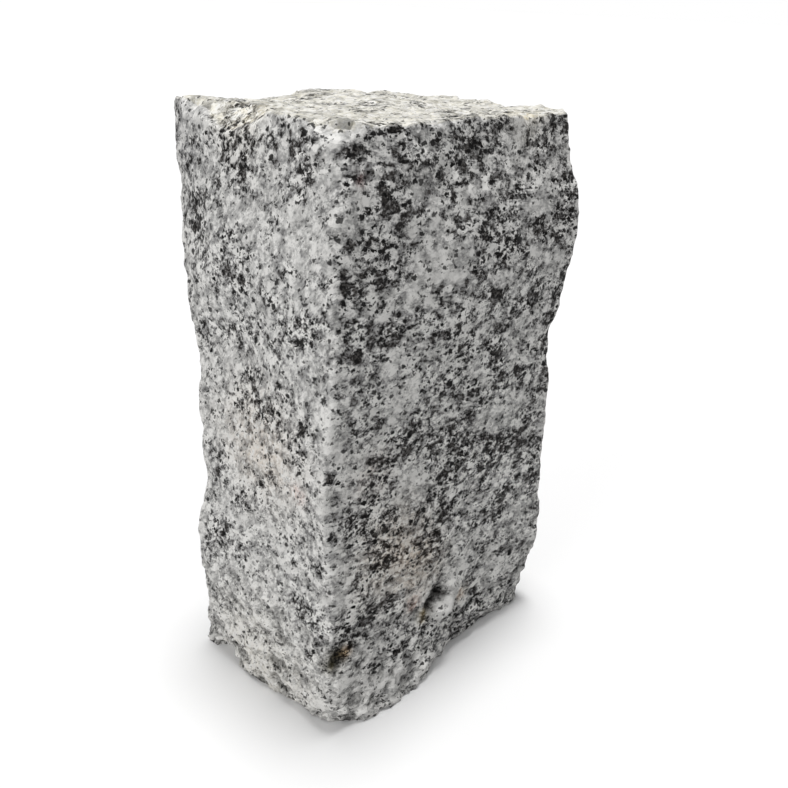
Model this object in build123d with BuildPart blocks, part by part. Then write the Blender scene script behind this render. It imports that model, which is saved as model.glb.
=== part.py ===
"""A split granite palisade: one upright block of stone, hewn on every side.

The block stands on its flat bed at z = 0, with the origin in the middle of the bed.
X runs along the broad faces and Y along the narrow ones. The four upright edges, called
arrises, are named by where they stand: near is at -X -Y, right at +X -Y, far at +X +Y
and left at -X +Y. A share is of the height, 0 at the bed and 1 at the crown.
"""

import os
from math import cos, exp, pi, sin

from build123d import *

# Overall sizes, in millimetres
height = 250.0
width = 135.0
depth = 88.0

# How far the long waves of the splitting stand out of each face
face_wave = 1.1
crown_wave = 1.5

# The waves that cross each other on a face: turns along it, turns up or across it, share of the
# height above, and where the wave starts, in radians. Each side face starts shift radians on
long_wave = (0.8, 1.1, 1.0, 0.0)
cross_wave = (1.3, -1.8, 0.5, 0.8)
long_shift = 1.7
cross_shift = 2.9
crown_ridges = (1.6, 0.0, 0.8, 0.5 * pi)
crown_sway = (-0.5, 0.9, 0.4, 0.0)

# How much the crown falls from the left end of the block to the right one
crown_fall = 5.4

# How far the foot of the broad near face swells out beside the near arris
foot_swell = 3.2
foot_swell_run = 0.27
foot_swell_width = 0.3
foot_swell_height = 0.25

# Stone that the blank has beyond the bed and the crown, before they are cut
trim = 12.0

# Level outlines that the blank is drawn through, and upright ones that shape the crown
courses = 12
slices = 7

# Each arris wanders out (plus) or in (minus) from its corner: (share, mm)
near_slip = [(0.0, 0.0), (0.18, 4.6), (0.30, 3.0), (0.42, 6.8), (0.52, 6.4), (0.66, 3.6), (1.0, 2.2)]
right_out = [(0.0, -3.4), (0.07, -2.4), (0.19, 4.0), (0.35, 0.4), (0.62, -0.8), (0.80, 4.4), (1.0, -4.5)]
left_out = [(0.0, -1.5), (0.06, 2.0), (0.25, 2.8), (0.40, -2.0), (0.65, -1.8)]
left_out += [(0.76, 4.8), (0.87, 5.8), (0.95, 0.8), (1.0, -13.5)]
far_out = [(0.0, 1.5), (0.22, -1.5), (0.48, 1.5), (0.75, -1.5), (1.0, -2.0)]

# How blunt each arris is, measured along its faces: (share, mm)
near_blunt = [(0.0, 17.0), (0.16, 4.0), (0.30, 2.4), (0.82, 2.4), (0.95, 10.0), (1.0, 15.0)]
right_blunt = [(0.0, 4.0), (0.3, 2.5), (1.0, 3.5)]
far_blunt = [(0.0, 4.0), (0.5, 2.0), (1.0, 5.0)]
left_blunt = [(0.0, 2.5), (0.6, 2.0), (1.0, 3.0)]

# Spalls, the shallow bowls that the hammer knocked off. Each has its place, as shares of the half
# width, the half depth and the height, the way it faces, the radius of its bowl and its bite, in mm
crown_scoop = ((-1.0, 0.22, 1.0), (-1.0, 0.0, 1.2), 38.0, 2.3)
crown_edge = ((0.35, -1.0, 1.0), (0.0, -1.0, 1.5), 190.0, 2.2)
near_top = ((-0.94, -0.90, 1.0), (-1.0, -1.0, 1.6), 45.0, 3.0)
right_top = ((1.04, -1.06, 1.0), (1.0, -1.0, 0.0), 33.0, 11.0)
right_notch = ((1.02, -1.02, 0.585), (1.0, -1.0, 0.0), 28.0, 5.2)
left_bevel = ((-1.03, 0.90, 0.84), (-1.0, 0.24, 0.0), 170.0, 2.6)
left_notch = ((-1.0, 1.0, 0.575), (-1.0, 1.0, 0.0), 20.0, 2.8)
left_foot = ((-1.0, 0.68, 0.0), (-1.0, 0.0, -0.4), 9.0, 4.8)
right_foot = ((0.38, -1.0, 0.0), (0.0, -1.0, -0.25), 150.0, 4.6)
far_notch = ((1.0, 1.0, 0.36), (1.0, 1.0, 0.1), 30.0, 4.5)
far_top = ((0.9, 0.95, 1.0), (0.5, 0.6, 1.3), 60.0, 1.9)
back_foot = ((0.1, 1.0, 0.0), (0.0, 1.0, -0.3), 90.0, 4.0)
spalls = [crown_scoop, crown_edge, near_top, right_top, right_notch, left_bevel, left_notch]
spalls += [left_foot, right_foot, far_notch, far_top, back_foot]


def along(profile, share):
    """The value of a profile at a share of the height, eased between its points."""
    for (low, before), (high, after) in zip(profile, profile[1:]):
        if share <= high:
            eased = (1 - cos(pi * max(0.0, share - low) / (high - low))) / 2
            return before + (after - before) * eased
    return profile[-1][1]


def corners(share):
    """The four corners of one course before blunting: near, right, far and left."""
    near = along(near_slip, share) / 2**0.5
    right = along(right_out, share) / 2**0.5 + along(right_blunt, share) / 2
    far = along(far_out, share) / 2**0.5 + along(far_blunt, share) / 2
    left = along(left_out, share) / 2**0.5 + along(left_blunt, share) / 2
    return [
        Vector(-width / 2 - near, -depth / 2 + near),
        Vector(width / 2 + right, -depth / 2 - right),
        Vector(width / 2 + far, depth / 2 + far),
        Vector(-width / 2 - left, depth / 2 + left),
    ]


def bump(far, spread):
    """A smooth swell, 1 in its middle and nearly 0 from one spread away."""
    return exp(-((2 * far / spread) ** 2))


def ripple(waves, run, rise, shift=0.0):
    """The height of one set of waves at two shares of a face."""
    turns_run, turns_rise, part, start = waves
    return part * sin(2 * pi * (turns_run * run + turns_rise * rise) + start + shift)


def wave(side, run, share):
    """How far a face stands out of its flat at a share of its run and of the height."""
    swell = ripple(long_wave, run, share, long_shift * side)
    swell += ripple(cross_wave, run, share, cross_shift * side)
    foot = 0.0
    if side == 0:
        foot = foot_swell * bump(run - foot_swell_run, foot_swell_width) * bump(share, foot_swell_height)
    return (face_wave * swell + foot) * sin(pi * run)


def crown(x, y):
    """The height of the crown over a point of the bed. Its ridges grow towards the far face."""
    across, deep = x / width, y / depth
    growth = 1 + deep / crown_ridges[2]
    swell = growth * ripple(crown_ridges, across, deep) + ripple(crown_sway, across, deep)
    return height - crown_fall * across + crown_wave * swell


stops = [0.0, 0.2, 0.4, 0.6, 0.8, 1.0]

with BuildPart() as palisade:
    # the blank, drawn through its courses
    for course in range(courses):
        level = -trim + (height + 2 * trim) * course / (courses - 1)
        share = min(max(level / height, 0.0), 1.0)
        posts = corners(share)
        blunt = [along(r, share) for r in (near_blunt, right_blunt, far_blunt, left_blunt)]
        with BuildSketch(Plane.XY.offset(level)):
            with BuildLine():
                ends = []
                for side in range(4):
                    start, end = posts[side], posts[(side + 1) % 4]
                    run = (end - start).normalized()
                    out = Vector(run.Y, -run.X)
                    first = start + run * blunt[side]
                    last = end - run * blunt[(side + 1) % 4]
                    Spline(*[first + (last - first) * s + out * wave(side, s, level / height) for s in stops])
                    ends.append((first, last))
                for side in range(3):
                    Line(ends[side][1], ends[side + 1][0])
                near_middle = (ends[3][1] + ends[0][0]) / 2
                ThreePointArc(ends[3][1], near_middle + (posts[0] - near_middle) * (2**0.5 - 1), ends[0][0])
            make_face()
    loft()

    # the crown, as a row of upright slices that the blank is kept within
    reach_x = width / 2 + 2 * trim
    reach_y = depth / 2 + 2 * trim
    for cut in range(slices):
        y = -reach_y + 2 * reach_y * cut / (slices - 1)
        with BuildSketch(Plane.XZ.offset(-y)):
            with BuildLine():
                marks = [-reach_x + 2 * reach_x * mark / slices for mark in range(slices + 1)]
                crown_line = Spline(*[(x, crown(x, y)) for x in marks])
                Polyline(crown_line @ 0, (-reach_x, -2 * trim), (reach_x, -2 * trim), crown_line @ 1)
            make_face()
    loft(mode=Mode.INTERSECT)

    # the bed, dressed flat
    split(bisect_by=Plane.XY, keep=Keep.TOP)

    # the spalls
    for (share_x, share_y, share_z), way, radius, bite in spalls:
        place = Vector(share_x * width / 2, share_y * depth / 2, share_z * height)
        with Locations(place + Vector(*way).normalized() * (radius - bite)):
            Sphere(radius, mode=Mode.SUBTRACT)

palisade.part.label = "palisade"
os.makedirs("parts", exist_ok=True)
export_step(palisade.part, "parts/palisade.step")
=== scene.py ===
"""The finish of a split granite palisade, laid out as an add-on for the 3D view.

The solid gives the block its size and main shape. The dressing adds what the splitting hammer
and the grain of the stone leave on its surface, and a granite whose pattern is worked out from
the place in the stone. The stage is a pale ground with soft light and one camera.
"""

from math import exp, radians

import bmesh
import bpy
from bpy.props import FloatProperty, FloatVectorProperty, IntProperty, PointerProperty
from mathutils import Euler, Matrix, Vector, noise


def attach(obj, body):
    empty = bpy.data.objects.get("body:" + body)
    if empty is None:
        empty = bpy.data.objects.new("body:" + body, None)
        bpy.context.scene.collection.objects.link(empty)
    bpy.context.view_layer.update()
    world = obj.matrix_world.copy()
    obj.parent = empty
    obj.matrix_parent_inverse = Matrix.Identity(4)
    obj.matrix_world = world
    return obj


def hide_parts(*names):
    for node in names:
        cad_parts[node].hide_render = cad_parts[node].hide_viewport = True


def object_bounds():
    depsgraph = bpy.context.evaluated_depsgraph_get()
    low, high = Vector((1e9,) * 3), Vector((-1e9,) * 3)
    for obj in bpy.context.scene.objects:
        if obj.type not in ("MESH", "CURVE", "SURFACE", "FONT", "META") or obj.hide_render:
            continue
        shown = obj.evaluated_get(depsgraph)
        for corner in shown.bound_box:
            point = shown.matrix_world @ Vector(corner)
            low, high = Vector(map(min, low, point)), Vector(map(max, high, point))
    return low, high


bl_info = {
    "name": "Granite palisade finish",
    "version": (1, 0, 0),
    "blender": (4, 5, 0),
    "location": "3D View > Sidebar > Palisade",
    "description": "Dresses a split granite palisade and sets it on a pale stage",
    "category": "Object",
}

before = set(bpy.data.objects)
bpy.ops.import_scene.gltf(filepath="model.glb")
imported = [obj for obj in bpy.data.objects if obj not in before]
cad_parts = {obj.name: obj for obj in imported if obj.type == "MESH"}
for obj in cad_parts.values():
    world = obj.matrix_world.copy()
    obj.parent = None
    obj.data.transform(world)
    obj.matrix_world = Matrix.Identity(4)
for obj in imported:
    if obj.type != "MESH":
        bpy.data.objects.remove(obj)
cad_low, cad_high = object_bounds()

NODE = "palisade"
SLOT = "granite"
MM = 0.001
BLOCK_SIZE = cad_high - cad_low


# Settings


def length(name, text, value):
    """A length setting in metres, given here in millimetres."""
    return FloatProperty(name=name, description=text, default=value * MM, unit="LENGTH", precision=5)


def number(name, text, value):
    """A setting that is a plain number, and never below nothing."""
    return FloatProperty(name=name, description=text, default=value, min=0.0)


def colour(name, text, value):
    """A colour setting in linear red, green and blue."""
    return FloatVectorProperty(
        name=name, description=text, default=value, size=3, min=0.0, max=1.0, subtype="COLOR"
    )


class PalisadeRelief(bpy.types.PropertyGroup):
    """What the hammer and the grain leave on the surface."""

    grid: length("Grid", "Width of the mesh's squares", 1.25)
    swell: length("Swell", "Height of the long waves of the split", 0.7)
    swell_span: length("Swell span", "Distance between the long waves", 26.0)
    knap: length("Knap", "Height of the scallops between the waves", 0.55)
    knap_span: length("Knap span", "Distance between the scallops", 9.0)
    grain: length("Grain", "Height of single grains", 0.30)
    grain_span: length("Grain span", "Distance between single grains", 2.9)
    chip: length("Chip", "Depth of the chips along the arrises", 1.7)
    chip_span: length("Chip span", "Distance between the chips", 9.0)
    keen: length("Keenness", "How far the arrises are drawn out again", 0.8)
    crown_gain: number("Crown gain", "How many times rougher the crown is", 1.7)
    foot_gain: number("Foot gain", "How many times rougher the foot is", 3.6)
    seed: IntProperty(name="Seed", description="Which stone this is", default=7)


class PalisadeStone(bpy.types.PropertyGroup):
    """The minerals of the granite."""

    white: colour("White feldspar", "The palest crystals", (0.88, 0.87, 0.845))
    pale: colour("Pale feldspar", "Most of the stone", (0.60, 0.595, 0.58))
    quartz: colour("Quartz", "The smoky grey grains", (0.333, 0.33, 0.328))
    shade: colour("Dark ground", "The ground of the mica-rich zones", (0.079, 0.0735, 0.069))
    mica: colour("Mica", "The black flakes", (0.010, 0.0096, 0.0096))
    crystal: length("Crystal", "Width of the feldspar crystals", 5.2)
    flake: length("Flake", "Spacing of the mica flakes", 2.5)
    speck: length("Speck", "Spacing of the smallest flakes", 1.5)
    weave: length("Weave", "Width of the fine weave between the grains", 1.5)
    zone: length("Zone", "Width of the mica-rich zones", 15.0)
    fabric: FloatVectorProperty(
        name="Fabric",
        description="How far the grain is drawn out along its own three directions",
        default=(1.32, 0.88, 1.10),
        min=0.1,
        subtype="XYZ",
    )


class PalisadeStage(bpy.types.PropertyGroup):
    """The ground, the light and the camera."""

    ground: colour("Ground", "Colour of the ground that the camera sees", (0.97, 0.97, 0.97))
    bounce: colour("Bounce", "Colour of the ground for the light it throws back", (0.52, 0.52, 0.52))
    backdrop: colour("Backdrop", "Colour of the air", (1.0, 1.0, 1.0))
    top_level: number("Top light", "Strength of the light from above", 1.95)
    side_level: number("Side light", "Strength of the light from the left", 1.22)
    fill_level: number("Fill", "Strength of the light from all round", 0.42)


# Shader graph helpers

# The middle of a noise or of a random number, of three of them, and a colour that tints nothing
MIDDLE = 0.5
MIDDLES = (MIDDLE, MIDDLE, MIDDLE)
UNTINTED = (1.0, 1.0, 1.0)


class Graph:
    """A node tree, with short ways to add what it is made of."""

    def __init__(self, owner):
        """An empty tree on a material or a world."""
        owner.use_nodes = True
        self.tree = owner.node_tree
        self.tree.nodes.clear()

    def add(self, kind, sockets=None, **settings):
        """A node with its settings, and its inputs set or linked."""
        node = self.tree.nodes.new("ShaderNode" + kind)
        for name, value in settings.items():
            setattr(node, name, value)
        for key, value in (sockets or {}).items():
            self.feed(node.inputs[key], value)
        return node

    def feed(self, socket, value):
        """Links a socket to another one, or sets its own value."""
        if isinstance(value, bpy.types.NodeSocket):
            self.tree.links.new(value, socket)
        else:
            socket.default_value = value

    def finish(self, kind, shader):
        """The tree's one output, for a material or a world."""
        output = self.add("Output" + kind, {"Surface": shader.outputs[0]})
        output.is_active_output = True

    def math(self, operation, first, second=0.0, third=0.0):
        """A number from one, two or three others."""
        return self.add("Math", {0: first, 1: second, 2: third}, operation=operation).outputs[0]

    def plus(self, base, value, weight):
        """The base with a value added at its weight."""
        return self.math("MULTIPLY_ADD", value, weight, base)

    def vector(self, operation, first, second=(0.0, 0.0, 0.0)):
        """A vector from one or two others."""
        return self.add("VectorMath", {0: first, 1: second}, operation=operation).outputs[0]

    def scale(self, vector, factor):
        """A vector made longer or shorter."""
        return self.add("VectorMath", {0: vector, "Scale": factor}, operation="SCALE").outputs[0]

    def ease(self, value, low, high, start=0.0, end=1.0):
        """Start below low, end above high, and a smooth step between them."""
        sockets = {"Value": value, "From Min": low, "From Max": high, "To Min": start, "To Max": end}
        return self.add("MapRange", sockets, interpolation_type="SMOOTHSTEP").outputs["Result"]

    def blend(self, factor, first, second, kind="MIX"):
        """A colour between two others."""
        node = self.add("Mix", {"Factor": factor}, data_type="RGBA", blend_type=kind)
        self.feed(node.inputs[6], first)
        self.feed(node.inputs[7], second)
        return node.outputs[2]

    def choose(self, factor, first, second):
        """A number between two others."""
        return self.add("Mix", {"Factor": factor, 2: first, 3: second}, data_type="FLOAT").outputs[0]

    def noise(self, place, span, detail=2.0, rough=0.5, output="Fac"):
        """Soft noise whose lumps are about span apart, in millimetres."""
        sockets = {"Vector": place, "Scale": 1 / span, "Detail": detail, "Roughness": rough}
        return self.add("TexNoise", sockets).outputs[output]

    def drift(self, place, span, reach, detail):
        """Soft offsets that move the edges of a pattern by up to half the reach."""
        offsets = self.noise(place, span, detail=detail, output="Color")
        return self.scale(self.vector("SUBTRACT", offsets, MIDDLES), reach)

    def cells(self, place, span):
        """Cells about span apart, in millimetres: the distance and three random numbers of each."""
        node = self.add("TexVoronoi", {"Vector": place, "Scale": 1 / span})
        return node.outputs["Distance"], self.parts(node.outputs["Color"])

    def parts(self, vector):
        """The three parts of a vector."""
        return self.add("SeparateXYZ", {0: vector}).outputs

    def attribute(self, name, output):
        """What the mesh holds under a name."""
        return self.add("Attribute", attribute_name=name, attribute_type="GEOMETRY").outputs[output]


def rgba(value):
    """A colour setting with full cover."""
    return (*value, 1.0)


# Granite

# How the grain of the stone lies: its long direction dips towards the right end of the near face
GRAIN_TURN = (radians(42.0), radians(21.0), radians(11.0))

# How the edges of the grains wander and fray, with span and reach in millimetres
WANDER = {"span": 2.2, "reach": 1.6, "detail": 1.0}
FRAY = {"span": 0.9, "reach": 1.2, "detail": 0.0}

# Patches of tone, the fine weave, and hairs and wisps that are drawn out along the grain
PATCHES = {"span": 3.9, "rough": 0.6}
WEAVE_ROUGH = 0.7
STREAK_STRETCH = (0.25, 1.0, 0.4)
HAIRS = {"span": 0.9, "detail": 1.0}
WISPS = {"span": 2.3, "rough": 0.6}

# Where in its noise a patch turns from dark to pale, and the weave too, and how far both swing
PATCH_RANGE = (0.33, 0.67)
WEAVE_RANGE = (0.36, 0.64)
SWING = (-0.5, 0.5)

# The smallest flakes lie apart from the larger ones by this, and this many crystals are smoky
SPECK_SHIFT = (7.0, 3.0, 5.0)
SMOKY_SHARE = 0.33

# What the flake-sized grains, the speck-sized ones and the weave add to the crispness
FLAKE_CRISP = 0.40
SPECK_CRISP = 0.25
WEAVE_CRISP = 0.37

# How much of the crispness a crystal shows: plainly, and what chance, smooth quartz and smoke add
BUSY_PLAIN = 0.70
BUSY_CHANCE = 0.5
BUSY_SMOOTH = -0.5
BUSY_SMOKY = -0.08

# How strong the pattern is where there is no mica, and what mica adds
LIVELY_PLAIN = 0.44
LIVELY_MICA = 1.9

# The middle tone, where 0 is black and about 1 is white, and what each part of the pattern adds
MIDDLE_TONE = 0.668
PATCH_TONE = 0.44
SMOKY_TONE = -0.17
CRYSTAL_TONE = 0.13
HAIR_TONE = 0.75
MICA_TONE = -0.37
PALE_TONE = 0.22

# The hairs show most in smooth quartz, and this much of them shows everywhere
HAIR_EVERYWHERE = 0.25

# The least tone, and what the crispness adds to it
LEAST_TONE = 0.15
LEAST_CRISP = 0.50

# The tone of each mineral, as its setting is named
MINERAL_TONES = (("mica", 0.0), ("shade", 0.12), ("quartz", 0.35), ("pale", 0.60), ("white", 0.84))

# The share of cells that hold a flake: plainly, what patches and mica add, and the most
FLAKES_PLAIN = 0.24
FLAKES_PATCH = -0.42
FLAKES_MICA = 0.95
FLAKES_MOST = 0.62

# The smallest and the largest radius of a flake and of a speck, in cells, how soft their edges
# are, and how much a speck covers
FLAKE_SIZES = (0.18, 0.47)
SPECK_SIZES = (0.20, 0.50)
FLAKE_EDGE = (-0.05, 0.06)
SPECK_COVER = 0.95

# Flakes gather along the seams, this far from a crystal's middle, and are this rare inside it
SEAM_RANGE = (0.30, 0.62)
SEAM_INSIDE = 0.25

# Wisps: how wide the lines are, the patches that they run in, and how much they cover
WISP_WIDTHS = (0.008, 0.034)
WISP_PATCHES = (0.38, 0.58)
WISP_COVER = 0.85

# Between these shares of mica, the wisps and all dark minerals grow from their least to their full
# strength
MICA_RANGE = (0.05, 0.50)
WISP_LEAST = 0.45
DARK_LEAST = 0.86

# How strongly a thin stain or a thin painted shade breaks up into spots
STAIN_AND_SHADE_SPOTS = 3.0

# Relief too fine for the mesh: its lumps, the dome of each crystal, its strength and its height,
# and how far the crystals lean
FINE_LUMPS = {"span": 1.5, "rough": 0.65}
FINE_DOME = -1.2
FINE_STRENGTH = 0.7
FINE_HEIGHT = 0.5 * MM
CRYSTAL_LEAN = 0.9

# How rough feldspar and mica are, and how little the stone shines
STONE_ROUGH = 0.86
MICA_ROUGH = 0.45
SHINE = 0.04


class Grains:
    """The patterns in the stone that its tones, its dark minerals and its fine relief share."""

    def __init__(self, graph, stone):
        coords = graph.add("TexCoord").outputs["Object"]
        millimetres = {"Vector": coords, "Scale": (1 / MM, 1 / MM, 1 / MM)}
        self.place = graph.add("Mapping", millimetres).outputs[0]
        turn = {"Vector": coords, "Rotation": GRAIN_TURN, "Scale": [span * MM for span in stone.fabric]}
        drawn = graph.add("Mapping", turn, vector_type="TEXTURE").outputs[0]
        wander = graph.drift(self.place, **WANDER)
        wavy = graph.vector("ADD", drawn, wander)
        frayed = graph.vector("ADD", wavy, graph.drift(self.place, **FRAY))

        # patches, crystals, and the cells of flakes and specks
        self.patch_noise = graph.noise(drawn, **PATCHES)
        self.patch = graph.ease(self.patch_noise, *PATCH_RANGE, *SWING)
        self.edge, self.lot = graph.cells(wavy, stone.crystal / MM)
        self.smoky = graph.math("LESS_THAN", self.lot[0], SMOKY_SHARE)
        self.flakes = graph.cells(frayed, stone.flake / MM)
        apart = graph.add("Mapping", {"Vector": frayed, "Location": SPECK_SHIFT}).outputs[0]
        self.specks = graph.cells(apart, stone.speck / MM)

        # the crispness between the grains, dark below nothing and pale above it
        weave = graph.noise(wavy, stone.weave / MM, rough=WEAVE_ROUGH)
        weave = graph.ease(weave, *WEAVE_RANGE, *SWING)
        crisp = graph.plus(-(FLAKE_CRISP + SPECK_CRISP) / 2, self.flakes[1][2], FLAKE_CRISP)
        crisp = graph.plus(crisp, self.specks[1][2], SPECK_CRISP)
        self.crisp = graph.plus(crisp, weave, WEAVE_CRISP)

        # hairs and wisps, drawn out along the grain
        streaks = graph.add("Mapping", {"Vector": drawn, "Scale": STREAK_STRETCH}).outputs[0]
        self.hair = graph.noise(streaks, **HAIRS)
        self.wisp = graph.noise(graph.vector("ADD", streaks, wander), **WISPS)


def tone_of(graph, grains, mica, smooth, pale):
    """How pale the stone is at a place, from the parts of its pattern and its shares of minerals."""
    busy = graph.plus(BUSY_PLAIN, grains.lot[1], BUSY_CHANCE)
    busy = graph.plus(busy, smooth, BUSY_SMOOTH)
    busy = graph.plus(busy, grains.smoky, BUSY_SMOKY)
    tone = graph.plus(graph.math("MULTIPLY", grains.patch, PATCH_TONE), grains.crisp, busy)
    tone = graph.plus(tone, grains.smoky, SMOKY_TONE)
    tone = graph.plus(tone, grains.lot[2], CRYSTAL_TONE)
    hair = graph.math("SUBTRACT", grains.hair, MIDDLE)
    hair = graph.math("MULTIPLY", hair, graph.math("ADD", smooth, HAIR_EVERYWHERE))
    tone = graph.plus(tone, hair, HAIR_TONE)
    lively = graph.plus(LIVELY_PLAIN, mica, LIVELY_MICA)
    tone = graph.plus(MIDDLE_TONE, tone, lively)
    tone = graph.plus(tone, mica, MICA_TONE)
    tone = graph.plus(tone, pale, PALE_TONE)
    return graph.math("MAXIMUM", tone, graph.plus(LEAST_TONE, grains.crisp, LEAST_CRISP))


def mineral_ramp(graph, stone, tone):
    """The colours of the minerals, in the order of their tones."""
    ramp = graph.add("ValToRGB", {"Fac": tone})
    bands = ramp.color_ramp.elements
    while len(bands) < len(MINERAL_TONES):
        bands.new(MIDDLE)
    for band, (mineral, spot) in zip(bands, MINERAL_TONES):
        band.position = spot
        band.color = rgba(getattr(stone, mineral))
    return ramp.outputs["Color"]


def scattered(graph, cells, plenty, smallest, largest):
    """Scattered flakes: 1 inside, 0 outside. Plenty is the share of cells that hold one."""
    distance, lot = cells
    radius = graph.plus(smallest, lot[1], largest - smallest)
    inside = graph.ease(graph.math("SUBTRACT", radius, distance), *FLAKE_EDGE)
    return graph.math("MULTIPLY", inside, graph.math("LESS_THAN", lot[0], plenty))


def dark_minerals(graph, grains, mica):
    """Mica, from 0 for none to 1: flakes, most of them along the crystals' seams, and wisps."""
    seam = graph.ease(grains.edge, *SEAM_RANGE, SEAM_INSIDE, 1.0)
    plenty = graph.plus(FLAKES_PLAIN, grains.patch, FLAKES_PATCH)
    plenty = graph.plus(plenty, mica, FLAKES_MICA)
    plenty = graph.math("MULTIPLY", graph.math("MINIMUM", plenty, FLAKES_MOST), seam)
    flakes = scattered(graph, grains.flakes, plenty, *FLAKE_SIZES)
    specks = scattered(graph, grains.specks, plenty, *SPECK_SIZES)
    dark = graph.math("MAXIMUM", flakes, graph.math("MULTIPLY", specks, SPECK_COVER))
    ridge = graph.math("ABSOLUTE", graph.math("SUBTRACT", grains.wisp, MIDDLE))
    wisp = graph.ease(ridge, *WISP_WIDTHS, 1.0, 0.0)
    inside = graph.ease(grains.patch_noise, *WISP_PATCHES, WISP_COVER, 0.0)
    wisp = graph.math("MULTIPLY", wisp, inside)
    wisp = graph.math("MULTIPLY", wisp, graph.ease(mica, *MICA_RANGE, WISP_LEAST, 1.0))
    dark = graph.math("MAXIMUM", dark, wisp)
    return graph.math("MULTIPLY", dark, graph.ease(mica, *MICA_RANGE, DARK_LEAST, 1.0))


def stained_and_shaded(graph, ground, stain, crisp):
    """The ground under its stains and painted shade, which break up into spots where they are thin."""
    thin = graph.vector("MULTIPLY", stain, graph.vector("SUBTRACT", UNTINTED, stain))
    spots = graph.scale(thin, graph.math("MULTIPLY", crisp, STAIN_AND_SHADE_SPOTS))
    return graph.blend(1.0, ground, graph.vector("ADD", stain, spots), kind="MULTIPLY")


def fine_relief(graph, grains):
    """The way the surface faces, with the relief that is too fine for the mesh."""
    dome = graph.math("MULTIPLY", grains.edge, grains.edge)
    height = graph.plus(graph.noise(grains.place, **FINE_LUMPS), dome, FINE_DOME)
    bump = graph.add("Bump", {"Strength": FINE_STRENGTH, "Distance": FINE_HEIGHT, "Height": height})
    lean = graph.add("CombineXYZ", {0: grains.lot[0], 1: grains.lot[1], 2: grains.lot[2]}).outputs[0]
    lean = graph.scale(graph.vector("SUBTRACT", lean, MIDDLES), CRYSTAL_LEAN)
    return graph.vector("NORMALIZE", graph.vector("ADD", bump.outputs[0], lean))


def granite(stone):
    """The granite's material."""
    material = bpy.data.materials.new(SLOT)
    graph = Graph(material)
    grains = Grains(graph, stone)
    mica, smooth, pale = graph.parts(graph.attribute("minerals", "Vector"))
    dark = dark_minerals(graph, grains, mica)
    ground = mineral_ramp(graph, stone, tone_of(graph, grains, mica, smooth, pale))
    ground = graph.blend(dark, ground, rgba(stone.mica))
    sockets = {
        "Base Color": stained_and_shaded(graph, ground, graph.attribute("stain", "Color"), grains.crisp),
        "Roughness": graph.choose(dark, STONE_ROUGH, MICA_ROUGH),
        "Normal": fine_relief(graph, grains),
        "Specular IOR Level": SHINE,
    }
    graph.finish("Material", graph.add("BsdfPrincipled", sockets))
    return material


# Marks of this stone, in millimetres, with their places measured from the middle of the bed

# Dark zones, rich in mica (plus), and zones poor in it (minus): place, reach, strength
MICA_MARKS = (
    # the near face
    ((-61, -41, 244), 4.5, 1.3),
    ((-65, -41, 234), 3, 1.4),
    ((-48, -43, 226), 4, 1.6),
    ((-69, -39, 223), 3, 1.4),
    ((-55, -42, 216), 3.5, 1.2),
    ((-12, -46, 215), 4, 1.4),
    ((-14, -45, 226), 5, 1.1),
    ((-33, -43, 233), 3, 1.1),
    ((-45, -42, 248), 5, 0.6),
    ((-6, -43, 244), 5, 0.6),
    ((-39, -43, 222), 5, 0.6),
    ((-65, -42, 214), 8, 0.7),
    ((-18, -44, 230), 8, 0.6),
    ((34, -45, 220), 16, 0.4),
    ((-48, -42, 192), 5, 0.6),
    ((14, -47, 204), 8, 0.7),
    ((-60, -42, 180), 12, 0.45),
    ((-30, -43, 178), 8, 0.4),
    ((-42, -44, 176), 8, 0.5),
    ((-34, -44, 126), 14, 0.65),
    ((-62, -44, 126), 9, 0.6),
    ((-10, -44, 112), 18, 0.75),
    ((-60, -44, 100), 11, 0.6),
    ((28, -44, 98), 14, 0.6),
    ((-40, -44, 84), 16, 0.7),
    ((-16, -44, 76), 14, 0.7),
    ((-59, -44, 70), 11, 0.7),
    ((60, -44, 60), 12, 0.3),
    ((-58, -44, 52), 8, 0.5),
    ((42, -44, 40), 22, -0.6),
    ((-50, -45, 10), 22, -0.9),
    # the left face and the crown above it
    ((-58, -32, 251), 12, 0.8),
    ((-64, 8, 250), 13, 0.7),
    ((-68, 30, 236), 20, 0.35),
    ((-68, 30, 210), 14, 0.3),
    ((-68, -6, 191), 9, 0.6),
    ((-68, -5, 152), 8, 0.6),
    ((-68, -26, 146), 4, 0.9),
    ((-68, -15, 101), 9, 0.7),
    ((-68, 0, 91), 6, 0.5),
    ((-68, 30, 70), 14, 0.25),
    ((-68, 5, 14), 34, -1.0),
)

# Zones rich in white feldspar (plus) and poor in it (minus): place, reach, strength
PALE_MARKS = (
    # the near face
    ((-18, -44, 200), 16, 0.55),
    ((-26, -44, 174), 22, 0.5),
    ((51, -44, 158), 10, 0.6),
    ((-38, -44, 142), 11, 0.5),
    ((-62, -44, 132), 7, 0.5),
    ((20, -44, 38), 50, 0.34),
    ((-46, -44, 14), 26, 0.5),
    # the chipped lump near the foot
    ((4.5, -44, 45), 7, 2.0),
    ((6, -44, 39), 5, 1.2),
    ((1, -44, 35), 5, 1.4),
    ((-7, -44, 34), 6, 1.6),
    ((-8, -44, 26), 6, 0.9),
    ((-22, -44, 38), 5, 0.9),
    # the left face and the crown above it
    ((-64, 8, 250), 12, -0.35),
    ((-58, -34, 251), 10, -0.3),
    ((-68, 18, 236), 8, 0.6),
    ((-68, -26, 214), 14, 0.4),
    ((-68, 30, 128), 16, 0.35),
    ((-68, -25, 120), 14, 0.45),
    ((-68, 0, 105), 60, 0.27),
    ((-68, 5, 14), 34, 1.0),
)

# Zones of smooth grey quartz: place, reach, strength
SMOOTH_MARKS = (
    ((26, -44, 80), 20, 0.7),
    ((44, -44, 38), 24, 0.7),
    ((-50, -44, 182), 7, 0.8),
    ((-52, -44, 204), 20, 0.5),
    ((-68, -28, 56), 12, 0.5),
    ((-68, -30, 190), 10, 0.5),
)

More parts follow.
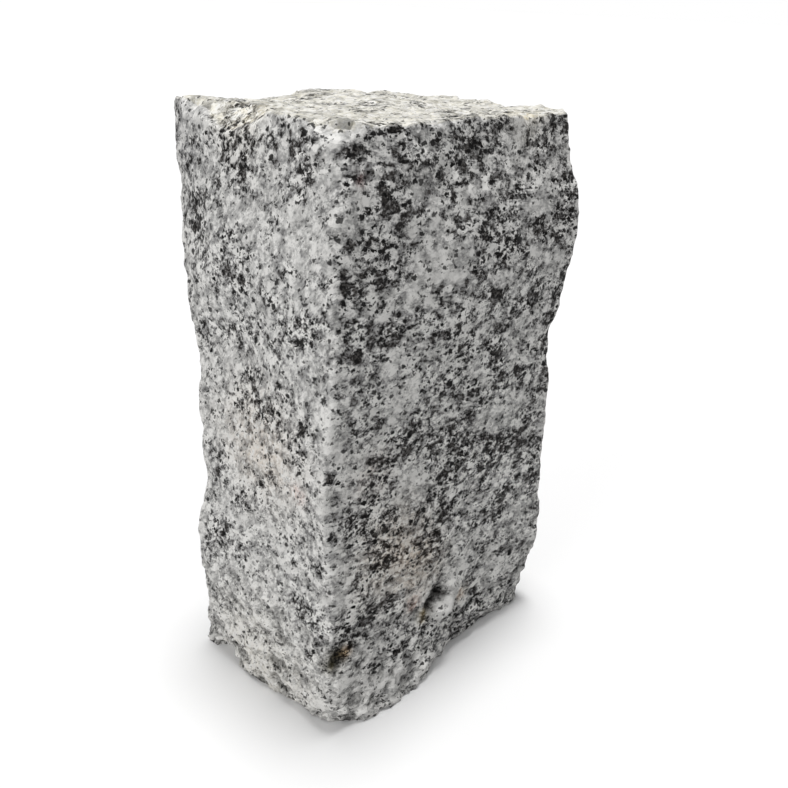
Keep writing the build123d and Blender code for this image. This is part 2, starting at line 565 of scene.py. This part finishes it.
# Bumps (plus) and dents (minus): place, reach, height
LEDGES = (
    # the chipped lump near the foot, its holes and its facets
    ((2.5, -44, 40), 7, 4.4),
    ((-1, -44, 33), 5, 2.0),
    ((-9, -44, 31), 6, 2.8),
    ((-6.5, -44, 45), 3.4, -3.0),
    ((-12, -44, 40.5), 3, -2.8),
    ((7, -44, 30.5), 3, -3.2),
    ((4, -44, 42), 2.6, 1.0),
    ((-1, -44, 39), 2.4, -1.1),
    ((-6, -44, 34), 2.6, 0.9),
    ((-1, -44, 32), 2.4, 0.8),
    ((1, -44, 46), 2.2, 0.8),
    # the stained hollow low in the near arris, and the lump on the crown above it
    ((-68, -41, 41), 5, -2.0),
    ((-61, -36, 250), 6, 2.0),
    # the rim of the crown
    ((-50, 44, 252), 13, 1.2),
    ((-16, 44, 252), 10, -1.4),
    ((20, 44, 252), 9, 1.7),
    ((-69.5, 31, 252), 3.5, -3.0),
    ((40, 44, 250), 12, 3.1),
    ((68, -11, 247), 5.5, -2.4),
    ((68, -24, 247), 5.5, 2.2),
    ((68, 3, 248), 7, 1.5),
    ((66, 36, 249), 10, -1.6),
    ((-71, 45, 247), 8, -2.0),
    ((-69, 36, 252), 8, 0.7),
    # the left arris, from the crown down, and the left foot
    ((-71, 47, 230), 8, 1.8),
    ((-71, 47, 200), 8, 0.7),
    ((-69, 45, 181), 7, -1.8),
    ((-67, 43, 157), 6, 0.5),
    ((-67, 43, 110), 6, 1.2),
    ((-68, 44, 93), 8, -1.6),
    ((-69, 45, 72), 7, 1.3),
    ((-71.5, 44.5, 0), 7, -4.0),
    ((-71, 46, 12), 12, -1.0),
    ((-69, 46, 34), 10, -1.2),
    ((-70, 29, 2), 7, -4.0),
    ((-68, -10, 2), 8, 1.0),
    # the right arris, from the crown down
    ((70, -47, 230), 9, -2.5),
    ((68, -44, 152), 7, -1.3),
    ((70, -46, 138), 9, -1.3),
    ((68, -44, 103), 7, 1.1),
    ((69, -46, 66), 7, -1.4),
    ((69, -46, 50), 8, -0.8),
    ((70, -46, 3), 7, -4.2),
)

# Rust, dust, and painted shade in the holes and on one bevel: place, reach, and the colour that the
# stone is tinted with
HOLE_SHADE = (0.03, 0.028, 0.025)
STAINS_AND_SHADE = (
    # the near face and the near arris
    ((-59, -44, 235), 2.5, (0.80, 0.52, 0.50)),
    ((-47, -44, 120), 12, (0.95, 0.91, 0.89)),
    ((-36, -44, 80), 22, (0.91, 0.85, 0.79)),
    ((-18, -44, 66), 16, (0.92, 0.86, 0.80)),
    ((-65.5, -41, 42), 6, (0.08, 0.065, 0.025)),
    ((-68, -40, 38), 4.5, (0.10, 0.085, 0.03)),
    ((-62, -42, 43), 3.2, (0.95, 0.68, 0.44)),
    # the chipped lump: painted shade, near black, in its holes and dents, then brown and warm stains
    ((-7, -44, 46), 3.6, HOLE_SHADE),
    ((-6, -44, 43), 4, HOLE_SHADE),
    ((-3, -44, 42), 2.6, HOLE_SHADE),
    ((-9.5, -44, 41.5), 3.6, HOLE_SHADE),
    ((-12, -44, 39), 3.4, (0.04, 0.036, 0.03)),
    ((6.5, -44, 31), 3.4, HOLE_SHADE),
    ((-16, -44, 38), 3.6, (0.25, 0.20, 0.10)),
    ((-16.5, -44, 34.5), 2.8, (0.40, 0.33, 0.18)),
    ((-23.5, -44, 47), 4.5, (1.0, 0.80, 0.73)),
    ((13, -43, 33), 5, (1.0, 0.87, 0.77)),
    # the left face
    # painted shade: the bevel at the top of the left arris is greyed where it turns away from the side
    # lamp
    ((-70, 40, 236), 16, (0.84, 0.84, 0.85)),
    ((-68, 0, 125), 26, (1.0, 0.955, 0.91)),
    ((-68, -24, 115), 5, (0.95, 0.78, 0.75)),
    ((-68, 4, 12), 40, (1.0, 0.985, 0.955)),
    # the crown
    ((-67, 6, 251), 13, (0.975, 0.95, 0.90)),
    ((34, -40, 250), 12, (1.0, 0.97, 0.91)),
)
CROWN_TINT = (1.0, 0.985, 0.93)

# How fast a mark fades from its middle, and where it ends, in its own reaches
MARK_FADE = 1.4
MARK_END = 2.0


def cover(place, spot, reach):
    """How much of a mark's strength is left at a place."""
    far = (place / MM - Vector(spot)).length / reach
    return exp(-MARK_FADE * far * far) if far < MARK_END else 0.0


def marked(place, marks):
    """How strongly all marks together reach a place."""
    return sum(strength * cover(place, spot, reach) for spot, reach, strength in marks)


def clamp(value):
    """A value kept between nothing and all."""
    return min(1.0, max(0.0, value))


# Block

# Corners of the solid's mesh that are closer than this are one
SAME_PLACE = 0.001 * MM

# The smoothing that finds the arrises: its rounds, its strength, and how far it pulls in a full one
ARRIS_ROUNDS = 14
ARRIS_SMOOTHING = 0.5
ARRIS_PULL = 1.1 * MM

# The roughness of the foot fades out over this share of the height, with this bend
FOOT_SHARE = 0.34
FOOT_BEND = 1.2

# A chip starts where its noise is above this
CHIP_START = -0.15

# Within this of the bed, the relief moves what faces down less and less up or down
BED_MARGIN = 2.0 * MM

# The layers of a noise: how fast they weaken, how much finer each one is, and how many there are
RELIEF_LAYERS = (0.9, 2.1, 2)
CHIP_LAYERS = (0.9, 2.1, 3)
ZONE_LAYERS = (0.8, 2.0, 3)
VEIN_LAYERS = (0.8, 2.0, 2)

# The way that a seed shifts the noise, and how far the veins of quartz lie from the zones of mica
SEED_WAY = (1.0, 2.3, -1.7)
VEIN_SHIFT = Vector((9.0, 4.0, 2.0))

# How a share grows as the surface turns upwards to the crown, and to the left where the arris is
# bruised and carries a painted highlight from the side lamp: slope and start
CROWN_FACING = (2.0, -0.6)
BRUISE_AND_HIGHLIGHT_FACING = (1.4, -0.2)

# Mica: plainly, on the broad faces, what the crown, zones, marks, pale marks and the bruised arris
# with its painted highlight add, and the least
MICA_PLAIN = 0.24
MICA_BROAD = 0.24
MICA_CROWN = -0.35
MICA_ZONES = 0.65
MICA_MARKED = 0.48
MICA_PALE = -0.5
MICA_BRUISE_AND_HIGHLIGHT = -0.6
MICA_LEAST = 0.14

# How much further out along the block than across it a place on a broad face may lie
BROAD_MARGIN = 20.0 * MM

# Smooth quartz, and how pale the crown, a bruised arris with its painted highlight and the palest mark
# are
SMOOTH_PLAIN = 0.12
SMOOTH_VEINS = 1.2
PALE_CROWN = 0.28
PALE_BRUISE_AND_HIGHLIGHT = 0.6
PALE_MOST = 2.2

# How dark the painted shade in the hollows between the lumps gets, and how deep they are then. A
# surface that faces up more than the last value has the crown's tint instead of this painted shade
HOLLOW_SHADE = 0.6
HOLLOW_DEPTH = 1.0 * MM
CROWN_TINTED = 0.7


def raw_block(grid):
    """The solid's mesh, merged and laid over again with even squares."""
    solid = bmesh.new()
    solid.from_mesh(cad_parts[NODE].data)
    bmesh.ops.remove_doubles(solid, verts=solid.verts, dist=SAME_PLACE)
    mesh = bpy.data.meshes.new("dressed_block")
    solid.to_mesh(mesh)
    solid.free()
    block = bpy.data.objects.new("dressed_block", mesh)
    bpy.context.scene.collection.objects.link(block)
    remesh = block.modifiers.new("even_grid", "REMESH")
    remesh.mode = "VOXEL"
    remesh.voxel_size = grid
    view = bpy.context.evaluated_depsgraph_get()
    even = bpy.data.meshes.new_from_object(block.evaluated_get(view))
    block.modifiers.clear()
    block.data = even
    even.name = "dressed_block"
    return block


def arris_shares(shape):
    """How near each vertex is to an arris, from 0 on a flat to 1, and the smoothed normals.

    It is measured by how far smoothing would pull the vertex in. The shape stays as it was.
    """
    before = [vert.co.copy() for vert in shape.verts]
    normals = [vert.normal.copy() for vert in shape.verts]
    axes = {"use_axis_x": True, "use_axis_y": True, "use_axis_z": True}
    for _ in range(ARRIS_ROUNDS):
        bmesh.ops.smooth_vert(shape, verts=shape.verts, factor=ARRIS_SMOOTHING, **axes)
    shape.normal_update()
    shares = []
    for vert, old, normal in zip(shape.verts, before, normals):
        shares.append(clamp((old - vert.co).dot(normal) / ARRIS_PULL))
    smooth = [vert.normal.copy() for vert in shape.verts]
    for vert, old in zip(shape.verts, before):
        vert.co = old
    return shares, smooth


def stone_noise(place, span, seed, layers=RELIEF_LAYERS):
    """Noise from about -1 to 1, with lumps about span apart."""
    apart = Vector([part * seed for part in SEED_WAY])
    return noise.fractal(place / span + apart, *layers)


def relief(place, arris, normal, shape):
    """How far the surface stands out at a place, and the part of it that is lumps, in metres."""
    upward = max(0.0, normal.z)
    foot = max(0.0, 1.0 - place.z / (FOOT_SHARE * BLOCK_SIZE.z)) ** FOOT_BEND
    gain = 1.0 + (shape.crown_gain - 1.0) * upward + (shape.foot_gain - 1.0) * foot
    rise = shape.swell * stone_noise(place, shape.swell_span, shape.seed)
    lumps = shape.knap * gain * stone_noise(place, shape.knap_span, shape.seed + 1)
    lumps += shape.grain * gain * stone_noise(place, shape.grain_span, shape.seed + 2)
    rise += lumps
    bite = stone_noise(place, shape.chip_span, shape.seed + 3, layers=CHIP_LAYERS)
    rise -= shape.chip * arris * max(0.0, bite - CHIP_START)
    rise += shape.keen * arris * (1.0 - upward)
    return rise + marked(place, LEDGES) * MM, lumps


def grainwise(place, fabric):
    """A place in the grain's own frame, where the grain is as long as it is wide."""
    drawn = Euler(GRAIN_TURN).to_matrix().inverted() @ place
    return Vector([part / span for part, span in zip(drawn, fabric)])


def facing(part, slope, start):
    """How far a surface faces one way, from nothing to all."""
    return clamp(slope * part + start)


def minerals(place, normal, arris, stone):
    """The shares of mica, smooth quartz and pale feldspar at a place. An arris that faces the side lamp
    is pale: bruised crystals, and a painted highlight.
    """
    zones = grainwise(place, stone.fabric) / stone.zone
    zone = noise.fractal(zones, *ZONE_LAYERS)
    vein = noise.fractal(zones + VEIN_SHIFT, *VEIN_LAYERS)
    crown = facing(normal.z, *CROWN_FACING)
    # painted highlight and bruise: the arrises that face the side lamp are paled
    bruise_and_highlight = arris * facing(-normal.x, *BRUISE_AND_HIGHLIGHT_FACING) * (1.0 - crown)
    broad = abs(place.y) > abs(place.x) - BROAD_MARGIN
    pale_marks = marked(place, PALE_MARKS)

    mica = MICA_PLAIN + (MICA_BROAD if broad else 0.0) + MICA_CROWN * crown + MICA_ZONES * zone
    mica = clamp(mica + MICA_MARKED * marked(place, MICA_MARKS) + MICA_PALE * pale_marks)
    mica = max(MICA_LEAST * (1.0 - crown), mica + MICA_BRUISE_AND_HIGHLIGHT * bruise_and_highlight)
    smooth = clamp(SMOOTH_PLAIN + SMOOTH_VEINS * vein + marked(place, SMOOTH_MARKS))
    pale = min(PALE_MOST, pale_marks + max(PALE_CROWN * crown, PALE_BRUISE_AND_HIGHLIGHT * bruise_and_highlight))
    return Vector((mica, smooth, pale))


def stain(place, normal, lumps):
    """The tint that rust and dust lay over a place, with painted shade and dirt: the hollows between
    the lumps are darker.
    """
    if normal.z > CROWN_TINTED:
        tint = Vector(CROWN_TINT)
    else:
        # painted shade and dirt: lumps sunk below the surface are darkened as if shadowed
        tint = Vector(UNTINTED) * (1.0 - HOLLOW_SHADE * clamp(-lumps / HOLLOW_DEPTH))
    for spot, reach, tinge in STAINS_AND_SHADE:
        share = cover(place, spot, reach)
        tint = Vector([old * (1.0 - share * (1.0 - new)) for old, new in zip(tint, tinge)])
    return tint


class PALISADE_OT_block(bpy.types.Operator):
    """Dress the block: even mesh, split relief, chipped arrises and granite"""

    bl_idname = "palisade.block"
    bl_label = "Dress block"
    bl_options = {"REGISTER", "UNDO"}

    def execute(self, context):
        shape = context.scene.palisade_relief
        stone = context.scene.palisade_stone
        block = raw_block(shape.grid)
        dressed = bmesh.new()
        dressed.from_mesh(block.data)
        dressed.normal_update()
        arrises, normals = arris_shares(dressed)
        places = [vert.co.copy() for vert in dressed.verts]
        hollows = []
        for vert, arris, normal in zip(dressed.verts, arrises, normals):
            rise, lumps = relief(vert.co, arris, normal, shape)
            hollows.append(lumps)
            move = normal * rise
            if normal.z < 0.0:
                move.z *= min(1.0, vert.co.z / BED_MARGIN)
            vert.co += move
            vert.co.z = max(0.0, vert.co.z)
        dressed.to_mesh(block.data)
        dressed.free()
        tables = {
            "minerals": [minerals(*spot, stone) for spot in zip(places, normals, arrises)],
            "stain": [stain(*spot) for spot in zip(places, normals, hollows)],
        }
        for name, values in tables.items():
            attribute = block.data.attributes.new(name, "FLOAT_VECTOR", "POINT")
            attribute.data.foreach_set("vector", [part for value in values for part in value])
        block.data.materials.clear()
        block.data.materials.append(granite(stone))
        block.data.shade_smooth()
        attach(block, "root")
        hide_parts(NODE)
        return {"FINISHED"}


# Stage

# The camera: its place and aim, measured against the block's arrises
CAMERA_PLACE = Vector((-253.5, -234.0, 288.0)) * MM
CAMERA_TURN = radians(41.8)
CAMERA_DIP = radians(25.1)
CAMERA_ROLL = radians(2.23)
QUARTER_TURN = radians(90.0)

# The width of its picture and its focal length in pixels, the width of its film in millimetres,
# and how close, in metres, it still sees
FRAME_PIXELS = 788
FOCAL_PIXELS = 848.0
FILM_WIDTH = 36.0
NEAREST_SEEN = 0.01

# Each lamp's name, its turn from +X, height and width in degrees, and the setting of its strength
SUNS = (
    ("top_light", 20.0, 87.0, 15.0, "top_level"),
    ("side_light", 180.0, 8.0, 30.0, "side_level"),
)

# How far the ground reaches each way, in metres
GROUND_REACH = 20.0


def camera_matrix():
    """The camera's place and turn: it looks along its own -Z."""
    turn = Matrix.Rotation(CAMERA_TURN - QUARTER_TURN, 4, "Z")
    dip = Matrix.Rotation(QUARTER_TURN - CAMERA_DIP, 4, "X")
    roll = Matrix.Rotation(CAMERA_ROLL, 4, "Z")
    return Matrix.Translation(CAMERA_PLACE) @ turn @ dip @ roll


def seen(graph):
    """1 for a ray from the camera, also one that is mirrored or let through, and 0 for the others."""
    rays = graph.add("LightPath").outputs
    direct = graph.math("MAXIMUM", rays["Is Camera Ray"], rays["Is Glossy Ray"])
    return graph.math("MAXIMUM", direct, rays["Is Transmission Ray"])


def pale_ground(stage):
    """A ground that the camera sees pale, and that throws less light back at the block."""
    material = bpy.data.materials.new("pale_ground")
    graph = Graph(material)
    tone = graph.blend(seen(graph), rgba(stage.bounce), rgba(stage.ground))
    graph.finish("Material", graph.add("BsdfDiffuse", {"Color": tone}))
    return material


def soft_air(stage):
    """A world that lights evenly and looks white."""
    world = bpy.data.worlds.new("soft_air")
    graph = Graph(world)
    level = graph.choose(seen(graph), stage.fill_level, 1.0)
    air = {"Color": rgba(stage.backdrop), "Strength": level}
    graph.finish("World", graph.add("Background", air))
    return world


def add_sun(name, turn, height, width, strength):
    """An even soft light from one side: its turn from +X, its height and its width, in degrees."""
    light = bpy.data.lights.new(name, "SUN")
    light.angle = radians(width)
    light.energy = strength
    lamp = bpy.data.objects.new(name, light)
    aim = Matrix.Rotation(QUARTER_TURN - radians(height), 4, "Y")
    lamp.matrix_world = Matrix.Rotation(radians(turn), 4, "Z") @ aim
    bpy.context.scene.collection.objects.link(lamp)


class PALISADE_OT_stage(bpy.types.Operator):
    """Lay the ground, hang the lamps and set the camera"""

    bl_idname = "palisade.stage"
    bl_label = "Set stage"
    bl_options = {"REGISTER", "UNDO"}

    def execute(self, context):
        stage = context.scene.palisade_stage
        scene = context.scene
        plate = bmesh.new()
        bmesh.ops.create_grid(plate, x_segments=1, y_segments=1, size=GROUND_REACH)
        mesh = bpy.data.meshes.new("ground")
        plate.to_mesh(mesh)
        plate.free()
        mesh.materials.append(pale_ground(stage))
        ground = bpy.data.objects.new("ground", mesh)
        scene.collection.objects.link(ground)

        for name, turn, height, width, setting in SUNS:
            add_sun(name, turn, height, width, getattr(stage, setting))
        scene.world = soft_air(stage)

        lens = bpy.data.cameras.new("camera")
        lens.sensor_width = FILM_WIDTH
        lens.lens = FILM_WIDTH * FOCAL_PIXELS / FRAME_PIXELS
        lens.clip_start = NEAREST_SEEN
        camera = bpy.data.objects.new("camera", lens)
        camera.matrix_world = camera_matrix()
        scene.collection.objects.link(camera)
        scene.camera = camera
        scene.view_settings.view_transform = "Standard"
        return {"FINISHED"}


# Panel


class PALISADE_PT_panel(bpy.types.Panel):
    """The palisade's settings and steps"""

    bl_label = "Granite palisade"
    bl_idname = "PALISADE_PT_panel"
    bl_space_type = "VIEW_3D"
    bl_region_type = "UI"
    bl_category = "Palisade"

    def draw(self, context):
        for operator, group in STEPS:
            box = self.layout.box()
            box.operator(operator)
            for name in group:
                settings = getattr(context.scene, name)
                for key in settings.bl_rna.properties.keys():
                    if key not in ("rna_type", "name"):
                        box.prop(settings, key)


STEPS = (
    ("palisade.block", ("palisade_relief", "palisade_stone")),
    ("palisade.stage", ("palisade_stage",)),
)
GROUPS = {
    "palisade_relief": PalisadeRelief,
    "palisade_stone": PalisadeStone,
    "palisade_stage": PalisadeStage,
}
CLASSES = (*GROUPS.values(), PALISADE_OT_block, PALISADE_OT_stage, PALISADE_PT_panel)


def register():
    """Adds the settings, the steps and the panel."""
    for kind in CLASSES:
        bpy.utils.register_class(kind)
    for name, kind in GROUPS.items():
        setattr(bpy.types.Scene, name, PointerProperty(type=kind))


def unregister():
    """Takes them away again."""
    for name in GROUPS:
        delattr(bpy.types.Scene, name)
    for kind in reversed(CLASSES):
        bpy.utils.unregister_class(kind)


def main():
    """Registers the add-on and runs its steps."""
    register()
    bpy.ops.palisade.block()
    bpy.ops.palisade.stage()


if __name__ == "__main__":
    main()
